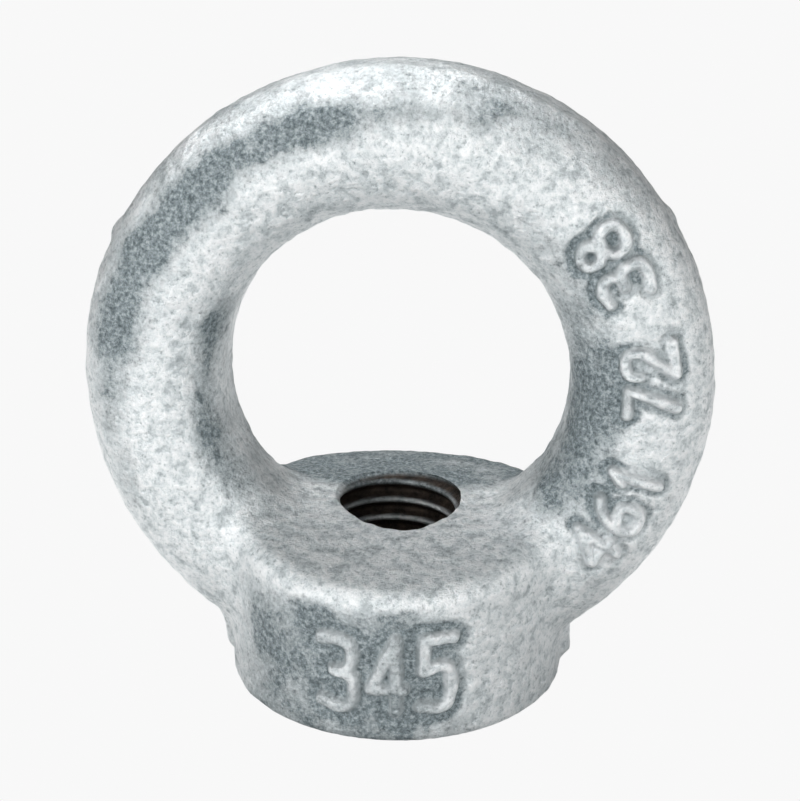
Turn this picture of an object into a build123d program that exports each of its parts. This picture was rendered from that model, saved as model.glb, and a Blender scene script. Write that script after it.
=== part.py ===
"""Lifting eye nut: a forged ring standing on a round collar that is tapped right through.

Frame: +Z up, origin at the centre of the seating face, on the thread axis. The ring stands in
the XZ plane, so its eye opens along Y, and the forging dies met at the plane y = 0. Millimetres.
"""

from build123d import *
from math import radians, tan
import os

os.makedirs("parts", exist_ok=True)

# Ring
ring_outer_dia = 45.0
eye_dia = 25.0
ring_depth = 11.0            # along Y
trimmed_land = 3.0           # flat band round the ring where the flash was cut off
eye_dip = 2.6                # how far the eye's circle runs below the top of the collar
root_fillet = 3.5            # where the arms of the ring run into the collar

# Collar
collar_dia = 25.0
collar_height = 13.1         # on the thread axis
front_fall = 1.9             # drop of the top from the thread axis to the front rim
back_fall = 0.7              # and to the back rim
shoulder_radius = 1.5        # between the top and the side
seat_chamfer = 0.4           # turned on the rim of the seating face
facing_stock = 8.0           # forged below the seat, then faced off

# Thread, as the bore that an M10 x 1.5 tap follows
tapping_dia = 8.5
mouth_dia = 9.2              # countersink in the top
lead_in_dia = 11.0           # countersink in the seating face
countersink_angle = 90.0     # included
cutter_overrun = 1.0         # the top countersink runs on above the crown

# Worked out from the sizes above
ring_outer = ring_outer_dia / 2
eye = eye_dia / 2
section_centre = (ring_outer + eye) / 2
section_half_width = (ring_outer - eye) / 2
half_land = trimmed_land / 2
section_bulge = ring_depth / 2 - half_land
ring_centre_z = collar_height - eye_dip + eye
collar_radius = collar_dia / 2
front_rim_z = collar_height - front_fall
back_rim_z = collar_height - back_fall
tapping = tapping_dia / 2
mouth = mouth_dia / 2
lead_in = lead_in_dia / 2
cone_slope = tan(radians(countersink_angle / 2))

# The ring's section is the land with half an ellipse either side, turned about the eye's axis
with BuildPart() as ring:
    with BuildSketch(Plane.XY.offset(ring_centre_z)):
        with BuildLine():
            Line((ring_outer, -half_land), (ring_outer, half_land))
            EllipticalCenterArc((section_centre, half_land), section_half_width, section_bulge,
                                0, arc_size=180)
            Line((eye, half_land), (eye, -half_land))
            EllipticalCenterArc((section_centre, -half_land), section_half_width, section_bulge,
                                180, arc_size=180)
        make_face()
    revolve(axis=Axis((0, 0, ring_centre_z), (0, 1, 0)))

# The collar is a round bar whose top is crowned from front to back, as the dies leave it.
# Its seam faces the front, clear of the arms.
with BuildPart() as collar:
    with BuildSketch(Plane.YZ):
        with BuildLine():
            Polyline((-collar_radius, front_rim_z), (-collar_radius, -facing_stock),
                     (collar_radius, -facing_stock), (collar_radius, back_rim_z))
            ThreePointArc((collar_radius, back_rim_z), (0, collar_height),
                          (-collar_radius, front_rim_z))
        make_face()
    extrude(amount=collar_radius, both=True)
    with BuildSketch(Plane(origin=(0, 0, -facing_stock), x_dir=(0, -1, 0), z_dir=(0, 0, 1))):
        Circle(collar_radius)
    extrude(amount=facing_stock + 2 * collar_height, mode=Mode.INTERSECT)
    crown = collar.faces().sort_by(Axis.Z)[-1]
    fillet(crown.edges(), shoulder_radius)

# The forging is faced off at the seat, then its rim and the bore are turned in one setting
with BuildPart() as eye_nut:
    add(ring.part)
    add(collar.part)
    roots = eye_nut.edges(Select.NEW).filter_by_position(Axis.Z, 0, ring_centre_z)
    fillet(roots, root_fillet)
    split(bisect_by=Plane.XY, keep=Keep.TOP)
    with BuildSketch(Plane.XZ):
        Polygon((collar_radius - seat_chamfer, 0), (collar_radius + seat_chamfer, 0),
                (collar_radius + seat_chamfer, 2 * seat_chamfer), align=None)
        Polygon((0, 0), (lead_in, 0), (tapping, (lead_in - tapping) / cone_slope),
                (tapping, collar_height - (mouth - tapping) / cone_slope),
                (mouth + cutter_overrun * cone_slope, collar_height + cutter_overrun),
                (0, collar_height + cutter_overrun), align=None)
    revolve(axis=Axis.Z, mode=Mode.SUBTRACT)

eye_nut.part.label = "eye_nut"
export_step(eye_nut.part, "parts/eye_nut.step")
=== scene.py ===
"""The looks of the lifting eye nut: a hot-dip galvanised forging with a tapped hole.

The CAD nut is remeshed evenly, so that the forging's flash, lumps and raised digits can be
modelled on its skin, and its M10 thread is then cut through the collar. Places are in the CAD's
frame, where the ring stands in the XZ plane and the thread runs along Z. Lengths in the shaping
code are millimetres, and the mesh is scaled to metres at the end.
"""

import bmesh
import bpy
import math
import numpy as np
from mathutils import Matrix, Vector, noise


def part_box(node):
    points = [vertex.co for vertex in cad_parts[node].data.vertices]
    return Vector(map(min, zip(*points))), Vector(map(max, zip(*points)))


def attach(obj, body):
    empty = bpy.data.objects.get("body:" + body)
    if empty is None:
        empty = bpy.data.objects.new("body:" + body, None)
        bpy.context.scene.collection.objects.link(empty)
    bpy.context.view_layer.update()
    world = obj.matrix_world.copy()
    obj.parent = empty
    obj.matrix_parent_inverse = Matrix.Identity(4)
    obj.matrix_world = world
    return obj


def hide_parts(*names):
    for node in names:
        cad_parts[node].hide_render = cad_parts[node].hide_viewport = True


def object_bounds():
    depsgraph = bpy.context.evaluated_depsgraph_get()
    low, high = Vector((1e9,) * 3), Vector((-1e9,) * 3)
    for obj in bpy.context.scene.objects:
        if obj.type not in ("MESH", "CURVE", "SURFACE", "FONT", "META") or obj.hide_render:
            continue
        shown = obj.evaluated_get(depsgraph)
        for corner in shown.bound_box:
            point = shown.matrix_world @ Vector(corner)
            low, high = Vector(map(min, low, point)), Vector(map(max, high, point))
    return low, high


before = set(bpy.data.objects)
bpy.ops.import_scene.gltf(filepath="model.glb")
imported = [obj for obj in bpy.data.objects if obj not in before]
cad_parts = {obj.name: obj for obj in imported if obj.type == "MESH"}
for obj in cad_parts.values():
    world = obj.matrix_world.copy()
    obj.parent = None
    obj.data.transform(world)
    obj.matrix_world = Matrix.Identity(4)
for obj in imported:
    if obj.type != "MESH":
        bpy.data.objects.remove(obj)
cad_lo, cad_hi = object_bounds()
MM = 0.001

# --- Places, from the frame, in millimetres --------------------------------------------------
NUT = "eye_nut"
lo, hi = (np.array(c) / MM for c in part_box(NUT))
RING_R = (hi[0] - lo[0]) / 2
COLLAR_R = (hi[1] - lo[1]) / 2
RING_Z = hi[2] - RING_R
SEAT_Z = lo[2]
EYE_R = 12.5
RING_MID = (RING_R + EYE_R) / 2
TOP_Z = 13.1                     # the collar's crown on the thread axis

# --- The thread, M10 x 1.5, in millimetres ---------------------------------------------------
PITCH = 1.5
CREST_R = 4.32
ROOT_R = 5.0
CREST_FLAT = 0.12                # share of the pitch's half that stays at the crest
FLANK = 0.70                     # and that the flank takes
LEAD_IN_R = 5.5                  # countersink in the seat
LEAD_IN_LIP = 0.3                # how far its cone runs on below the seat
AROUND = 96
ROWS_PER_PITCH = 12
THREAD_TURN = 0.744              # turns, so that the groove runs out at the mouth's back right

# --- The forging's skin, in millimetres ------------------------------------------------------
PLUG_R = LEAD_IN_R + 0.15        # covers the widest countersink
PLUG_SIDES = 64
PLUG_SINK = (0.01, 0.005)        # how far its two ends stay inside the skin
WELD = 0.002
GRAIN = 0.285                    # spacing of the even mesh
CROWN_LIFT = 0.36                # how far the collar's top stands above the CAD's
EYE_EASE = 0.16                  # and the eye's top lies outside it
LUMPS = ((0.05, 7.0, 1), (0.04, 2.2, 2), (0.045, 0.8, 3))      # height, size, seed
FLASH_STEPS = ((152, 2.0, 0.35), (33, 1.5, 0.2))               # polar degrees, width, height
FLASH_SIDES = (dict(side=-1, high=0.85, low_z=0.4, top_z=4.6),
               dict(side=1, high=0.7, low_z=0.9, top_z=3.0))
SEAM = dict(high=0.10, wide=0.55)                              # where the dies met
TRIM = dict(deep=0.07, at=1.6, wide=0.35)                      # groove either side of it
DIGIT_HEIGHT = 0.46
MOAT_DEPTH = 0.12
WEAR = 0.08                      # how ragged the strokes' edges are
SHARP_ANGLE = 50                 # degrees

# Raised digits: across the collar's front, and up the right arm with their tops to the eye.
# Core is where a stroke is full height and foot where it ends, from its middle line.
COLLAR_MARK = dict(text="345", cell=(2.3, 5.4), gap=1.2, left=4.3, foot_z=2.7,
                   core=0.22, foot=0.62, moat=(0.9, 1.6))
ARM_MARK = dict(text="461 72 38", cell=(1.9, 3.3), gap=0.95, below=39.5, foot_r=19.5,
                core=0.16, foot=0.52, moat=(0.7, 1.2))

# Dull, mottled places on the ring, and painted shade: (polar degrees, radius), their spread, and
# how dark. The patches at radius 13.4 to 15.6 are painted shade on the eye's inner edges. Those at
# radius 19.2 to 20.2, from 84 to 172 degrees, are a painted dark reflection across the upper left
# of the ring's front.
DULL_AND_SHADE = (((142, 19.2), (24, 2.2), 1.0), ((112, 19.6), (18, 1.3), 0.85),
        ((172, 20.2), (20, 1.7), 0.75), ((84, 19.8), (16, 0.9), 0.5),
        ((205, 13.6), (34, 1.3), 0.75), ((165, 13.4), (22, 1.0), 0.6),
        ((350, 13.4), (42, 1.7), 1.0), ((15, 15.6), (40, 1.3), 0.55),
        ((62, 21.3), (26, 0.9), 0.45), ((100, 22.2), (40, 0.8), 0.5),
        ((222, 20.6), (20, 1.4), 0.5), ((330, 21.0), (20, 1.2), 0.3))

# Digits as strokes in a cell one unit wide and high. The corners inside a stroke are rounded.
CURVES = {
    "1": [[(0.2, 0.75), (0.55, 1)], [(0.55, 1), (0.55, 0)]],
    "2": [[(0, 0.72), (0.1, 1), (0.9, 1), (1, 0.65), (0.5, 0.4), (0, 0)], [(0, 0), (1, 0)]],
    "3": [[(0, 0.95), (0.5, 1), (1, 0.9), (0.9, 0.55), (0.4, 0.53)],
          [(0.4, 0.53), (1, 0.5), (1, 0.05), (0.5, 0), (0, 0.08)]],
    "4": [[(0.75, 0), (0.75, 1)], [(0.75, 1), (0, 0.3)], [(0, 0.3), (1, 0.3)]],
    "5": [[(0.95, 1), (0.1, 1)], [(0.1, 1), (0.05, 0.55)], [(0.05, 0.55), (0.8, 0.65), (1, 0.3),
                                                       (0.8, 0), (0, 0.05)]],
    "6": [[(0.85, 1), (0.2, 0.8), (0, 0.3), (0.15, 0), (0.85, 0), (1, 0.3), (0.85, 0.55),
           (0.05, 0.4)]],
    "7": [[(0, 1), (1, 1)], [(1, 1), (0.35, 0)]],
    "8": [[(0.5, 0.53), (0.05, 0.7), (0.2, 1), (0.8, 1), (0.95, 0.7), (0.5, 0.53)],
          [(0.5, 0.53), (0, 0.4), (0.1, 0), (0.9, 0), (1, 0.4), (0.5, 0.53)]],
}


def smooth(low, high, v):
    """0 below low, 1 above high, and an S curve between."""
    t = np.clip((v - low) / (high - low), 0, 1)
    return t * t * (3 - 2 * t)


def rounded(line, times=2):
    """The line with its corners cut, its two ends kept."""
    for _ in range(times):
        cut = [line[0]]
        for (x0, y0), (x1, y1) in zip(line, line[1:]):
            cut += [(0.75 * x0 + 0.25 * x1, 0.75 * y0 + 0.25 * y1),
                    (0.25 * x0 + 0.75 * x1, 0.25 * y0 + 0.75 * y1)]
        line = cut + [line[-1]]
    return line


def stroke_distance(text, cell, gap, u, v):
    """How far points (u, v) are from the strokes of text, whose first cell starts at (0, 0)."""
    best = np.full(u.shape, 1e9)
    wide, high = cell
    for i, ch in enumerate(text):
        if ch == " ":
            continue
        middle = i * (wide + gap) + wide / 2
        near = (np.abs(u - middle) < wide) & (np.abs(v - high / 2) < high)
        if not near.any():
            continue
        a, b = u[near], v[near]
        d = np.full(a.shape, 1e9)
        for line in CURVES[ch]:
            pts = [(i * (wide + gap) + x * wide, y * high) for x, y in rounded(line)]
            for (x0, y0), (x1, y1) in zip(pts, pts[1:]):
                dx, dy = x1 - x0, y1 - y0
                t = np.clip(((a - x0) * dx + (b - y0) * dy) / (dx * dx + dy * dy), 0, 1)
                d = np.minimum(d, np.hypot(a - x0 - t * dx, b - y0 - t * dy))
        best[near] = np.minimum(best[near], d)
    return best


def lumps(points, size, seed):
    """Soft noise between about -1 and 1, with features of that size."""
    off = Vector((seed * 13.7, seed * 7.1, seed * 3.3))
    return np.array([noise.noise(Vector(p) / size + off) for p in points]) * 1.6


def digits(p, n):
    """How far the points belong to a raised stroke, and to the moat round one, each 0 to 1."""
    x, y, z = p.T
    r, rho = np.hypot(x, y), np.hypot(x, z - RING_Z)
    wall = smooth(COLLAR_R - 0.7, COLLAR_R - 0.3, r) * (y < 0)
    wall = wall * smooth(TOP_Z - 1.2, TOP_Z - 2.2, z)
    worn = WEAR * lumps(p, 1.1, 5)
    m = COLLAR_MARK
    arc = np.arctan2(x, -y) * COLLAR_R
    d = worn + stroke_distance(m["text"], m["cell"], m["gap"], arc + m["left"], z - m["foot_z"])
    mark = (1 - smooth(m["core"], m["foot"], d)) * wall
    moat = (1 - smooth(*m["moat"], d)) * wall * (1 - mark)
    m = ARM_MARK
    facing = smooth(0.15, 0.45, -n[:, 1])
    arc = (np.arctan2(z - RING_Z, x) + math.radians(m["below"])) * RING_MID
    d = worn + stroke_distance(m["text"], m["cell"], m["gap"], arc, m["foot_r"] - rho)
    arm = (1 - smooth(m["core"], m["foot"], d)) * facing
    return mark + arm, moat + (1 - smooth(*m["moat"], d)) * facing * (1 - arm)


def normals_of(mesh):
    n = np.empty(len(mesh.vertices) * 3)
    mesh.vertex_normals.foreach_get("vector", n)
    return n.reshape(-1, 3)


def coords_of(mesh):
    c = np.empty(len(mesh.vertices) * 3)
    mesh.vertices.foreach_get("co", c)
    return c.reshape(-1, 3)


def apply_modifiers(obj):
    """Replaces obj's mesh by what its modifiers make of it."""
    seen = obj.evaluated_get(bpy.context.evaluated_depsgraph_get())
    made = bpy.data.meshes.new_from_object(seen)
    old = obj.data
    obj.modifiers.clear()
    obj.data = made
    bpy.data.meshes.remove(old)


def closed_rod(name, rings):
    """A closed mesh through rings of as many points each, with a fan at either end."""
    around = len(rings[0])
    verts = [v for ring in rings for v in ring]
    faces = []
    for j in range(len(rings) - 1):
        for i in range(around):
            k = (i + 1) % around
            a, b = j * around + i, j * around + k
            faces += [(a, b, b + around), (a, b + around, a + around)]
    last = (len(rings) - 1) * around
    for ring, base, flip in ((rings[0], 0, True), (rings[-1], last, False)):
        verts.append(tuple(np.mean(ring, axis=0)))
        c = len(verts) - 1
        for i in range(around):
            k = base + (i + 1) % around
            faces.append((c, k, base + i) if flip else (c, base + i, k))
    mesh = bpy.data.meshes.new(name)
    mesh.from_pydata(verts, [], faces)
    obj = bpy.data.objects.new(name, mesh)
    bpy.context.scene.collection.objects.link(obj)
    return obj


def bore_plug(cad):
    """A rod that fills the bore and its countersinks, flush with the crown round its mouth."""
    rings = [[], []]
    for i in range(PLUG_SIDES):
        a = 2 * math.pi * i / PLUG_SIDES
        x, y = math.cos(a), math.sin(a)
        rings[0].append((PLUG_R * x, PLUG_R * y, SEAT_Z + PLUG_SINK[0]))
        start = Vector(((PLUG_R + 0.1) * x, (PLUG_R + 0.1) * y, TOP_Z + 4))
        hit = cad.ray_cast(start, Vector((0, 0, -1)))
        rings[1].append((PLUG_R * x, PLUG_R * y, hit[1].z - PLUG_SINK[1]))
    return closed_rod("plug", rings)


def boolean(obj, operation, tool):
    """Adds tool to obj or cuts it away, and removes tool."""
    step = obj.modifiers.new(operation.lower(), "BOOLEAN")
    step.operation = operation
    step.solver = "MANIFOLD"
    step.object = tool
    apply_modifiers(obj)
    bpy.data.objects.remove(tool)


def even_skin():
    """The CAD nut as one even mesh, in millimetres, with its bore filled."""
    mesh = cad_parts[NUT].data.copy()
    mesh.transform(Matrix.Scale(1 / MM, 4))
    obj = bpy.data.objects.new("forging", mesh)
    bpy.context.scene.collection.objects.link(obj)
    weld = obj.modifiers.new("weld", "WELD")
    weld.merge_threshold = WELD
    apply_modifiers(obj)
    boolean(obj, "UNION", bore_plug(obj))
    cad = obj.copy()
    cad.data = obj.data.copy()
    bpy.context.scene.collection.objects.link(cad)
    remesh = obj.modifiers.new("remesh", "REMESH")
    remesh.mode = "VOXEL"
    remesh.voxel_size = GRAIN
    remesh.adaptivity = 0
    wrap = obj.modifiers.new("wrap", "SHRINKWRAP")
    wrap.target = cad
    wrap.wrap_method = "NEAREST_SURFACEPOINT"
    even = obj.modifiers.new("even", "SMOOTH")
    even.factor = 0.5
    even.iterations = 2
    apply_modifiers(obj)
    bpy.data.objects.remove(cad)
    return obj


def shape_skin(obj):
    """Moves the skin's points to make the lumps, the flash and the raised digits."""
    mesh = obj.data
    p, n = coords_of(mesh), normals_of(mesh)
    x, y, z = p.T
    rho = np.hypot(x, z - RING_Z)
    polar = np.degrees(np.arctan2(z - RING_Z, x))
    r = np.hypot(x, y)
    off_seat = smooth(0.0, 0.5, z - SEAT_Z)

    out = sum(high * lumps(p, size, seed) for high, size, seed in LUMPS)
    eye = smooth(EYE_R + 1.7, EYE_R + 0.5, rho)
    out -= EYE_EASE * eye * smooth(10, 50, polar) * smooth(170, 130, polar)

    # Flash: a ragged ridge along the dies' meeting line, proudest at the collar's two sides
    rim = smooth(RING_R - 1.2, RING_R - 0.4, rho)
    ragged = 0.5 + 0.5 * lumps(p, 3.0, 4)
    out += SEAM["high"] * np.exp(-(y / SEAM["wide"]) ** 2) * rim * ragged
    out -= TRIM["deep"] * np.exp(-((np.abs(y) - TRIM["at"]) / TRIM["wide"]) ** 2) * rim
    for at, wide, high in FLASH_STEPS:
        out += high * rim * np.exp(-((polar - at) / wide) ** 2) * np.exp(-(y / 1.3) ** 4)
    for f in FLASH_SIDES:
        band = smooth(COLLAR_R - 1.5, COLLAR_R - 0.6, f["side"] * x)
        band = band * smooth(f["low_z"], f["low_z"] + 0.8, z)
        band = band * (1 - smooth(f["top_z"], f["top_z"] + 2, z))
        out += f["high"] * band * (0.8 + 0.4 * ragged) * np.exp(-(y / 1.1) ** 4)

    mark, moat = digits(p, n)
    out += DIGIT_HEIGHT * mark * (0.85 + 0.3 * ragged) - MOAT_DEPTH * moat

    out *= 0.25 + 0.75 * off_seat
    p = p + n * out[:, None]
    lift = CROWN_LIFT * smooth(COLLAR_R - 0.2, COLLAR_R - 2.2, r)
    lift = lift * smooth(TOP_Z - 3.5, TOP_Z - 1.5, z)
    p[:, 2] += lift * smooth(-9, -3, y) * smooth(TOP_Z + 4, TOP_Z + 1, z)
    p[:, 2] = np.maximum(p[:, 2], SEAT_Z)
    mesh.vertices.foreach_set("co", p.ravel())
    mesh.update()


def tap():
    """What the tap cuts: a threaded rod whose groove is a helix."""
    rise = PITCH / ROWS_PER_PITCH
    rings = []
    for zz in np.arange(SEAT_Z - 1, TOP_Z + 2, rise):
        ring = []
        for i in range(AROUND):
            phase = (zz / PITCH - i / AROUND + THREAD_TURN) % 1
            tooth = abs(phase - 0.5) * 2                      # 0 at the groove's foot
            deep = min(1, max(0, (1 - CREST_FLAT - tooth) / FLANK))
            cone = min(LEAD_IN_R - (zz - SEAT_Z), LEAD_IN_R + LEAD_IN_LIP)
            r = max(CREST_R + (ROOT_R - CREST_R) * deep, cone)
            a = 2 * math.pi * i / AROUND
            ring.append((r * math.cos(a), r * math.sin(a), zz))
        rings.append(ring)
    return closed_rod("tap", rings)


def finer_digits(obj):
    """Halves the mesh where the digits stand."""
    mesh = obj.data
    mark, moat = digits(coords_of(mesh), normals_of(mesh))
    near = (mark + moat) > 0.02
    bm = bmesh.new()
    bm.from_mesh(mesh)
    bm.verts.ensure_lookup_table()
    edges = [e for e in bm.edges if near[e.verts[0].index] and near[e.verts[1].index]]
    bmesh.ops.subdivide_edges(bm, edges=edges, cuts=1, use_grid_fill=True)
    bmesh.ops.triangulate(bm, faces=[f for f in bm.faces if len(f.verts) > 4])
    bm.to_mesh(mesh)
    bm.free()


def patch(polar, rho, at, spread):
    """A soft patch on the ring, at (degrees, radius)."""
    turn = (polar - at[0] + 180) % 360 - 180
    return np.exp(-(turn / spread[0]) ** 2 - ((rho - at[1]) / spread[1]) ** 2)


def paint(obj):
    """Stores where the zinc is dull and where shade is painted, where the thread is oily and shade
    is painted, and where a highlight is painted along the strokes' edges.
    """
    mesh = obj.data
    p, n = coords_of(mesh) / MM, normals_of(mesh)
    x, y, z = p.T
    rho, r = np.hypot(x, z - RING_Z), np.hypot(x, y)
    polar = np.degrees(np.arctan2(z - RING_Z, x))
    dull_and_shade = sum(k * patch(polar, rho, at, spread) for at, spread, k in DULL_AND_SHADE)
    # Painted shade on the crown behind the bore, where it slopes away from the lamps
    crown_back_shade = smooth(TOP_Z - 2.5, TOP_Z - 1.0, z) * smooth(TOP_Z + 2.5, TOP_Z + 0.5, z)
    crown_back_shade = crown_back_shade * smooth(-1, 4, y)
    front = smooth(TOP_Z - 1.5, TOP_Z - 3.5, z) * smooth(COLLAR_R - 1, COLLAR_R - 0.2, r)
    front = front * (y < 0)
    dull_and_shade = np.maximum(dull_and_shade * (1 - front), 0.85 * crown_back_shade * (np.abs(x) < 11))
    dull_and_shade = np.maximum(dull_and_shade, front * (0.15 + 0.6 * smooth(4.5, 1.5, x) * smooth(-13, -8, x)))
    mark, moat = digits(p, n)
    # Painted light: the crown's front half and the top of the front wall made lighter, where they
    # face the lamps
    front_crown_light = smooth(TOP_Z - 3.2, TOP_Z - 2, z) * smooth(1, -4, y)
    front_crown_light = front_crown_light * smooth(TOP_Z + 3, TOP_Z, z)
    # Painted shade in the moat round the raised strokes; the strokes themselves a little less dull
    dull_and_shade = np.clip(dull_and_shade + 0.65 * moat, 0, 1) * (1 - 0.35 * mark) - 0.25 * front_crown_light
    # Oil in the thread with painted shade: dark down the bore, darkest in the grooves, less so on
    # the crests
    crown = TOP_Z + CROWN_LIFT - 0.014 * np.minimum(y - 3, 0) ** 2
    inside = (r < ROOT_R + 0.1) * smooth(crown, crown - 0.3, z)
    thread_oil_and_shade = inside * (1 - 0.6 * smooth(CREST_R + 0.25, CREST_R + 0.05, r))
    # The pale band along the raised strokes' edges is a painted highlight
    for name, value in (("dull_and_shade", dull_and_shade), ("thread_oil_and_shade", thread_oil_and_shade), ("stroke_edge_highlight", 2.4 * mark * (1 - mark))):
        layer = mesh.attributes.new(name, "FLOAT", "POINT")
        layer.data.foreach_set("value", value.astype(np.float32))


nut = even_skin()
finer_digits(nut)
shape_skin(nut)
boolean(nut, "DIFFERENCE", tap())
nut.data.transform(Matrix.Scale(MM, 4))
nut.name = "galvanised_nut"
nut.data.name = "galvanised_nut"
for poly in nut.data.polygons:
    poly.use_smooth = True
nut.data.set_sharp_from_angle(angle=math.radians(SHARP_ANGLE))
nut.data.materials.clear()
paint(nut)


# --- Materials -------------------------------------------------------------------------------
METAL = 0.8                      # as zinc under its thin patina
BROAD_SCALE = 230                # features to the metre
FINE_SCALE = 1100
GRAIN_SCALE = 3200
BUMP_STRENGTH = 0.8
BUMP_DISTANCE = 0.00022
A, B, RESULT = 6, 7, 2           # the colour sockets of a Mix node


def new_material(name):
    mat = bpy.data.materials.new(name)
    mat.use_nodes = True
    return mat, mat.node_tree.nodes, mat.node_tree.links


def zinc():
    """Pale crystalline zinc, mottled where it is dull and darkened with painted shade, with a
    painted highlight along the digits' edges, and oily and painted with shade in the thread.
    """
    mat, nodes, links = new_material("hot_dip_zinc")
    bsdf = nodes["Principled BSDF"]
    coord = nodes.new("ShaderNodeTexCoord")

    def noise_tex(scale, detail, rough=0.6):
        t = nodes.new("ShaderNodeTexNoise")
        t.inputs["Scale"].default_value = scale
        t.inputs["Detail"].default_value = detail
        t.inputs["Roughness"].default_value = rough
        links.new(coord.outputs["Object"], t.inputs["Vector"])
        return t.outputs["Fac"]

    def ramp(fac, stops):
        r = nodes.new("ShaderNodeValToRGB")
        for e, (pos, col) in zip(r.color_ramp.elements, (stops[0], stops[-1])):
            e.position = pos
            e.color = (*col, 1)
        for pos, col in stops[1:-1]:
            e = r.color_ramp.elements.new(pos)
            e.color = (*col, 1)
        links.new(fac, r.inputs["Fac"])
        return r.outputs["Color"]

    def math_node(op, *values):
        m = nodes.new("ShaderNodeMath")
        m.operation = op
        for i, v in enumerate(values):
            if isinstance(v, (int, float)):
                m.inputs[i].default_value = v
            else:
                links.new(v, m.inputs[i])
        return m.outputs[0]

    def mix_multiply(a, b):
        m = nodes.new("ShaderNodeMix")
        m.data_type = "RGBA"
        m.blend_type = "MULTIPLY"
        m.inputs["Factor"].default_value = 1
        links.new(a, m.inputs[A])
        links.new(b, m.inputs[B])
        return m.outputs[RESULT]

    def mix(fac, a, b):
        m = nodes.new("ShaderNodeMix")
        m.data_type = "RGBA"
        links.new(fac, m.inputs["Factor"])
        for socket, v in ((m.inputs[A], a), (m.inputs[B], b)):
            if isinstance(v, tuple):
                socket.default_value = (*v, 1)
            else:
                links.new(v, socket)
        return m.outputs[RESULT]

    def attribute(name):
        node = nodes.new("ShaderNodeAttribute")
        node.attribute_name = name
        return node.outputs["Fac"]

    broad = noise_tex(BROAD_SCALE, 5)
    fine = noise_tex(FINE_SCALE, 6, 0.7)
    grain = noise_tex(GRAIN_SCALE, 5, 0.75)
    black, white = (0, 0, 0), (1, 1, 1)
    bright = ramp(fine, [(0.36, (0.52, 0.56, 0.575)), (0.46, (0.77, 0.81, 0.82)),
                         (0.56, (0.95, 0.965, 0.97))])
    pitted = ramp(grain, [(0.32, (0.45, 0.48, 0.49)), (0.44, (0.86, 0.88, 0.885)), (0.62, white)])
    bright = mix_multiply(bright, pitted)
    # Colour of the dull zinc, which also serves for the painted shade and the painted dark
    # reflection
    dark = ramp(grain, [(0.36, (0.10, 0.125, 0.135)), (0.50, (0.24, 0.285, 0.30)),
                        (0.66, (0.50, 0.55, 0.57))])
    # Dull, and dark with painted shade, where the mask and the broad noise together say so, with
    # ragged borders
    where = math_node("ADD", attribute("dull_and_shade"), math_node("MULTIPLY_ADD", broad, 1.7, -0.98))
    where = math_node("ADD", where, math_node("MULTIPLY_ADD", fine, 1.3, -0.65))
    dullness_and_shade = ramp(where, [(0.15, black), (0.70, white)])
    colour = mix(dullness_and_shade, bright, dark)
    # Painted highlight colour for the strokes' edges
    edge = mix(dullness_and_shade, (0.93, 0.95, 0.96), (0.70, 0.74, 0.75))
    colour = mix(attribute("stroke_edge_highlight"), colour, edge)
    # Near-black for the oil and the painted shade in the thread
    oil_and_shade_colour = ramp(fine, [(0.35, (0.010, 0.008, 0.007)), (0.65, (0.060, 0.045, 0.035))])
    colour = mix(attribute("thread_oil_and_shade"), colour, oil_and_shade_colour)
    links.new(colour, bsdf.inputs["Base Color"])
    bsdf.inputs["Metallic"].default_value = METAL
    rough = ramp(where, [(0.2, (0.33,) * 3), (0.8, (0.52,) * 3)])
    links.new(rough, bsdf.inputs["Roughness"])
    bump = nodes.new("ShaderNodeBump")
    bump.inputs["Strength"].default_value = BUMP_STRENGTH
    bump.inputs["Distance"].default_value = BUMP_DISTANCE
    height = math_node("MULTIPLY_ADD", grain, 0.55, fine)
    links.new(height, bump.inputs["Height"])
    links.new(bump.outputs["Normal"], bsdf.inputs["Normal"])
    return mat


nut.data.materials.append(zinc())
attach(nut, "root")
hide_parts(NUT)

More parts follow.
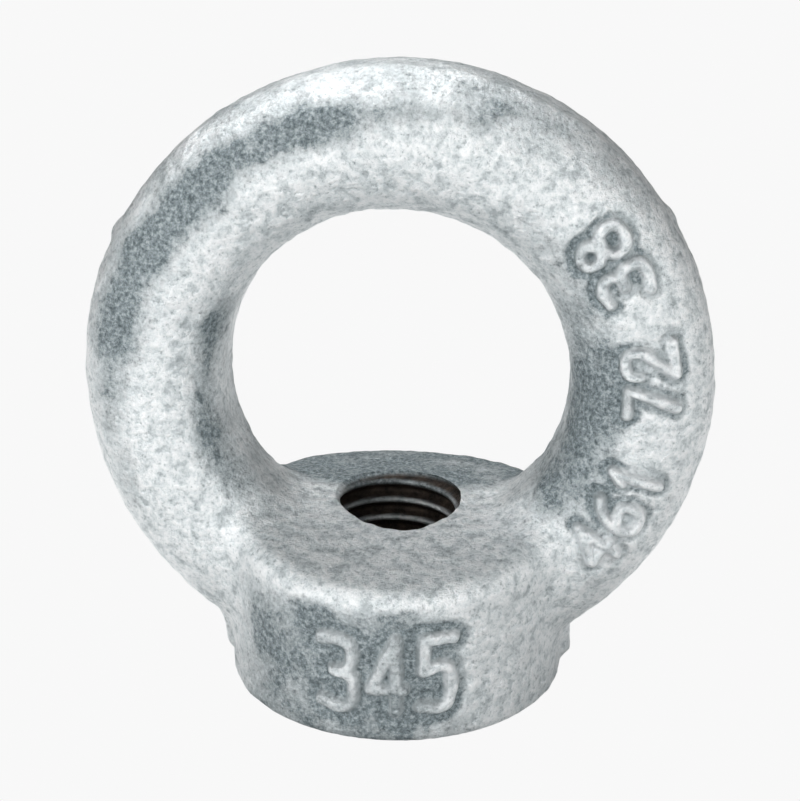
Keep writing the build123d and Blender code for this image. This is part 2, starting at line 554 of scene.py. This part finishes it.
# --- Floor, light and camera -----------------------------------------------------------------
SIZE = (cad_hi - cad_lo).z
FLOOR_WIDTH = 60 * SIZE
FLOOR_GAP = 0.002 * SIZE         # keeps the floor clear of the seating face
FLOOR_GREY = (0.80, 0.80, 0.80, 1)
PALE = (0.94, 0.94, 0.94, 1)     # what the camera sees as backdrop
SKY_STRENGTH = 0.24
bpy.ops.mesh.primitive_plane_add(size=FLOOR_WIDTH, location=(0, 0, cad_lo.z - FLOOR_GAP))
floor = bpy.context.object
floor.name = "floor"
mat, nodes, links = new_material("pale_floor")
shade = nodes["Principled BSDF"]
shade.inputs["Base Color"].default_value = FLOOR_GREY
shade.inputs["Roughness"].default_value = 0.9
glow = nodes.new("ShaderNodeEmission")
glow.inputs["Color"].default_value = PALE
path = nodes.new("ShaderNodeLightPath")
blend = nodes.new("ShaderNodeMixShader")
links.new(path.outputs["Is Camera Ray"], blend.inputs["Fac"])
links.new(shade.outputs["BSDF"], blend.inputs[1])
links.new(glow.outputs["Emission"], blend.inputs[2])
links.new(blend.outputs["Shader"], nodes["Material Output"].inputs["Surface"])
floor.data.materials.append(mat)

world = bpy.data.worlds.new("studio")
bpy.context.scene.world = world
world.use_nodes = True
sky = world.node_tree.nodes["Background"]
sky.inputs["Color"].default_value = PALE
sky.inputs["Strength"].default_value = SKY_STRENGTH

# The camera stands in front of the ring, a little to its right, and looks down at its middle
EYE = Vector((0.00865, -0.1043, 0.0578))
TARGET = Vector((0.00016, 0, 0.02104))
LENS = 68.31
ROLL = 0.0026

# Soft boxes: where each stands, its width and its power
LAMPS = (("front", (-0.03, -0.34, 0.10), 0.24, 0.62),
         ("crown_back_shade", (-0.05, 0.07, 0.27), 0.13, 0.52),
         ("key", (-0.20, -0.10, 0.12), 0.08, 0.17),
         ("right", (0.24, -0.06, 0.10), 0.10, 0.12))
for name, place, size, power in LAMPS:
    lamp = bpy.data.lights.new(name, "AREA")
    lamp.size = size
    lamp.energy = power
    obj = bpy.data.objects.new(name, lamp)
    bpy.context.scene.collection.objects.link(obj)
    obj.location = place
    obj.rotation_euler = (TARGET - Vector(place)).to_track_quat("-Z", "Y").to_euler()

camera_data = bpy.data.cameras.new("camera")
camera_data.sensor_width = 36
camera_data.lens = LENS
camera_data.clip_start = 0.005
camera = bpy.data.objects.new("camera", camera_data)
bpy.context.scene.collection.objects.link(camera)
camera.matrix_world = (Matrix.Translation(EYE)
                       @ (TARGET - EYE).to_track_quat("-Z", "Y").to_matrix().to_4x4()
                       @ Matrix.Rotation(ROLL, 4, "Z"))
bpy.context.scene.camera = camera
bpy.context.scene.view_settings.view_transform = "Standard"
